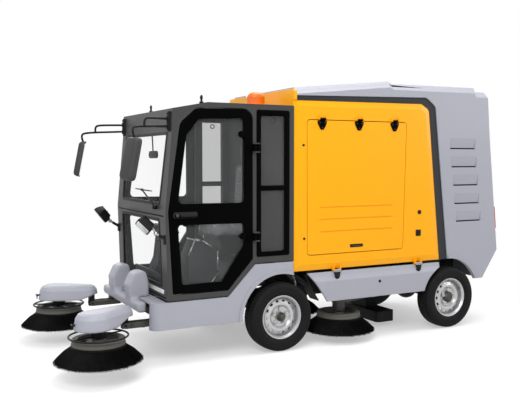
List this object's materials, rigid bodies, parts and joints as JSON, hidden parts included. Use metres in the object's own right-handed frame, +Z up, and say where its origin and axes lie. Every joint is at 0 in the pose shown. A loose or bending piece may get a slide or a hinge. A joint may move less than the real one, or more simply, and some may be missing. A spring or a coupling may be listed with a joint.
{
  "type": "compact cab road sweeper",
  "caption": "Compact ride-on sweeper with glazed cab, lowering disc brushes front and middle, side lids and a tail hopper with lifting rear door.",
  "frame": {"origin": "on the floor, under the middle of the overall box", "axes": "+X to the rear, +Y to the machine's right, +Z up"},
  "size_m": [4.516, 2.054, 2.3919],
  "materials": {
    "tyre_rubber": "matt",
    "wheel_steel": "satin silver paint",
    "chassis_black": "satin black paint",
    "cab_grey": "satin dark grey paint",
    "door_black": "satin black paint",
    "body_yellow": "gloss amber yellow",
    "shell_grey": "gloss light grey",
    "trim_charcoal": "matt charcoal",
    "clear_glass": "clear",
    "seat_cover": "seat cover",
    "inner_plastic": "grained black plastic",
    "bristle_black": "nylon bristles",
    "battery_case": "closed case",
    "amber_lens": "amber lens",
    "red_lens": "red lens",
    "hardware_black": "satin black"
  },
  "bodies": {
    "root": {"battery_pack": "battery_case", "beacon": "amber_lens", "body_front": "body_yellow", "body_side_left": "body_yellow", "body_side_right": "body_yellow", "brush_carrier": "shell_grey", "cab_floor": "inner_plastic", "cab_frame": "cab_grey", "cab_windows": "clear_glass", "chassis": "chassis_black", "dashboard": "inner_plastic", "front_axle": "chassis_black", "front_panel": "shell_grey", "headlamps": "hardware_black", "hopper_shell": "shell_grey", "mirrors": "shell_grey", "mudguards": "inner_plastic", "outriggers": "chassis_black", "rear_axle": "chassis_black", "seat_back": "seat_cover", "seat_base": "inner_plastic", "seat_cushion": "seat_cover", "suction_mouth": "chassis_black", "tail_lamps": "red_lens", "trim_arches": "trim_charcoal", "windshield": "clear_glass"},
    "steer_left": {"knuckle_left": "chassis_black"},
    "wheel_front_left": {"tyre_front_left": "tyre_rubber", "rim_front_left": "wheel_steel"},
    "wheel_rear_left": {"tyre_rear_left": "tyre_rubber", "rim_rear_left": "wheel_steel"},
    "cab_door_left": {"cab_door_left": "door_black", "door_glass_left": "clear_glass"},
    "access_door_left": {"access_door_left": "body_yellow", "access_hinges_left": "hardware_black"},
    "skirt_left": {"skirt_left": "shell_grey"},
    "brush_arm_left": {"brush_arm_left": "chassis_black"},
    "brush_head_left": {"brush_head_left": "chassis_black", "hood_left": "shell_grey"},
    "front_brush_left": {"front_brush_left": "bristle_black"},
    "mid_arm_left": {"mid_arm_left": "chassis_black"},
    "mid_brush_left": {"mid_brush_left": "bristle_black"},
    "steer_right": {"knuckle_right": "chassis_black"},
    "wheel_front_right": {"tyre_front_right": "tyre_rubber", "rim_front_right": "wheel_steel"},
    "wheel_rear_right": {"tyre_rear_right": "tyre_rubber", "rim_rear_right": "wheel_steel"},
    "cab_door_right": {"cab_door_right": "door_black", "door_glass_right": "clear_glass"},
    "access_door_right": {"access_door_right": "body_yellow", "access_hinges_right": "hardware_black"},
    "skirt_right": {"skirt_right": "shell_grey"},
    "brush_arm_right": {"brush_arm_right": "chassis_black"},
    "brush_head_right": {"brush_head_right": "chassis_black", "hood_right": "shell_grey"},
    "front_brush_right": {"front_brush_right": "bristle_black"},
    "mid_arm_right": {"mid_arm_right": "chassis_black"},
    "mid_brush_right": {"mid_brush_right": "bristle_black"},
    "tail_door": {"tail_door": "shell_grey"},
    "steering_wheel": {"steering_wheel": "inner_plastic"}
  },
  "joints": [
    {"name": "steering_left", "type": "hinge", "parent": "root", "child": "steer_left", "pos_m": [-0.308, -0.52, 0.3], "axis": [0, 0, 1], "range_deg": [-28, 28]},
    {"name": "front_wheel_spin_left", "type": "hinge", "parent": "steer_left", "child": "wheel_front_left", "pos_m": [-0.308, -0.6, 0.3], "axis": [0, 1, 0], "continuous": true},
    {"name": "rear_wheel_spin_left", "type": "hinge", "parent": "root", "child": "wheel_rear_left", "pos_m": [1.604, -0.6, 0.3], "axis": [0, 1, 0], "continuous": true},
    {"name": "cab_door_swing_left", "type": "hinge", "parent": "root", "child": "cab_door_left", "pos_m": [-0.57, -0.662, 1.3], "axis": [0, 0, 1], "range_deg": [0, 80]},
    {"name": "access_door_lift_left", "type": "hinge", "parent": "root", "child": "access_door_left", "pos_m": [0.508, -0.658, 2.02], "axis": [-1, 0, 0], "range_deg": [0, 85]},
    {"name": "skirt_lift_left", "type": "hinge", "parent": "root", "child": "skirt_left", "pos_m": [0.737, -0.662, 0.668], "axis": [-1, 0, 0], "range_deg": [0, 90]},
    {"name": "brush_lower_left", "type": "hinge", "parent": "root", "child": "brush_arm_left", "pos_m": [-1.408, -0.505, 0.345], "axis": [0, -1, 0], "range_deg": [0, 30]},
    {"name": "brush_level_left", "type": "hinge", "parent": "brush_arm_left", "child": "brush_head_left", "pos_m": [-1.658, -0.505, 0.345], "axis": [0, -1, 0], "range_deg": [-30, 0]},
    {"name": "front_brush_spin_left", "type": "hinge", "parent": "brush_head_left", "child": "front_brush_left", "pos_m": [-1.916, -0.685, 0.29], "axis": [0, 0, 1], "continuous": true},
    {"name": "mid_brush_lower_left", "type": "hinge", "parent": "root", "child": "mid_arm_left", "pos_m": [0.872, -0.374, 0.35], "axis": [0, -1, 0], "range_deg": [0, 5]},
    {"name": "mid_brush_spin_left", "type": "hinge", "parent": "mid_arm_left", "child": "mid_brush_left", "pos_m": [0.414, -0.47, 0.22], "axis": [0, 0, 1], "continuous": true},
    {"name": "steering_right", "type": "hinge", "parent": "root", "child": "steer_right", "pos_m": [-0.308, 0.52, 0.3], "axis": [0, 0, 1], "range_deg": [-28, 28]},
    {"name": "front_wheel_spin_right", "type": "hinge", "parent": "steer_right", "child": "wheel_front_right", "pos_m": [-0.308, 0.6, 0.3], "axis": [0, 1, 0], "continuous": true},
    {"name": "rear_wheel_spin_right", "type": "hinge", "parent": "root", "child": "wheel_rear_right", "pos_m": [1.604, 0.6, 0.3], "axis": [0, 1, 0], "continuous": true},
    {"name": "cab_door_swing_right", "type": "hinge", "parent": "root", "child": "cab_door_right", "pos_m": [-0.57, 0.662, 1.3], "axis": [0, 0, -1], "range_deg": [0, 80]},
    {"name": "access_door_lift_right", "type": "hinge", "parent": "root", "child": "access_door_right", "pos_m": [0.508, 0.658, 2.02], "axis": [1, 0, 0], "range_deg": [0, 85]},
    {"name": "skirt_lift_right", "type": "hinge", "parent": "root", "child": "skirt_right", "pos_m": [0.737, 0.662, 0.668], "axis": [1, 0, 0], "range_deg": [0, 90]},
    {"name": "brush_lower_right", "type": "hinge", "parent": "root", "child": "brush_arm_right", "pos_m": [-1.408, 0.505, 0.345], "axis": [0, -1, 0], "range_deg": [0, 30]},
    {"name": "brush_level_right", "type": "hinge", "parent": "brush_arm_right", "child": "brush_head_right", "pos_m": [-1.658, 0.505, 0.345], "axis": [0, -1, 0], "range_deg": [-30, 0]},
    {"name": "front_brush_spin_right", "type": "hinge", "parent": "brush_head_right", "child": "front_brush_right", "pos_m": [-1.916, 0.685, 0.29], "axis": [0, 0, 1], "continuous": true},
    {"name": "mid_brush_lower_right", "type": "hinge", "parent": "root", "child": "mid_arm_right", "pos_m": [0.872, 0.374, 0.35], "axis": [0, -1, 0], "range_deg": [0, 5]},
    {"name": "mid_brush_spin_right", "type": "hinge", "parent": "mid_arm_right", "child": "mid_brush_right", "pos_m": [0.414, 0.47, 0.22], "axis": [0, 0, 1], "continuous": true},
    {"name": "tail_door_lift", "type": "hinge", "parent": "root", "child": "tail_door", "pos_m": [2.12006, 0, 2.23], "axis": [0, -1, 0], "range_deg": [0, 85]},
    {"name": "steering_wheel_turn", "type": "hinge", "parent": "root", "child": "steering_wheel", "pos_m": [-0.93552, 0, 1.21201], "axis": [0.5299, 0, 0.848], "range_deg": [-448, 448]}
  ],
  "couplings": [
    {"joint": "brush_level_left", "follows": "brush_lower_left", "ratio": -1},
    {"joint": "brush_level_right", "follows": "brush_lower_right", "ratio": -1},
    {"joint": "steering_right", "follows": "steering_left", "ratio": 1},
    {"joint": "steering_wheel_turn", "follows": "steering_left", "ratio": 16}
  ]
}
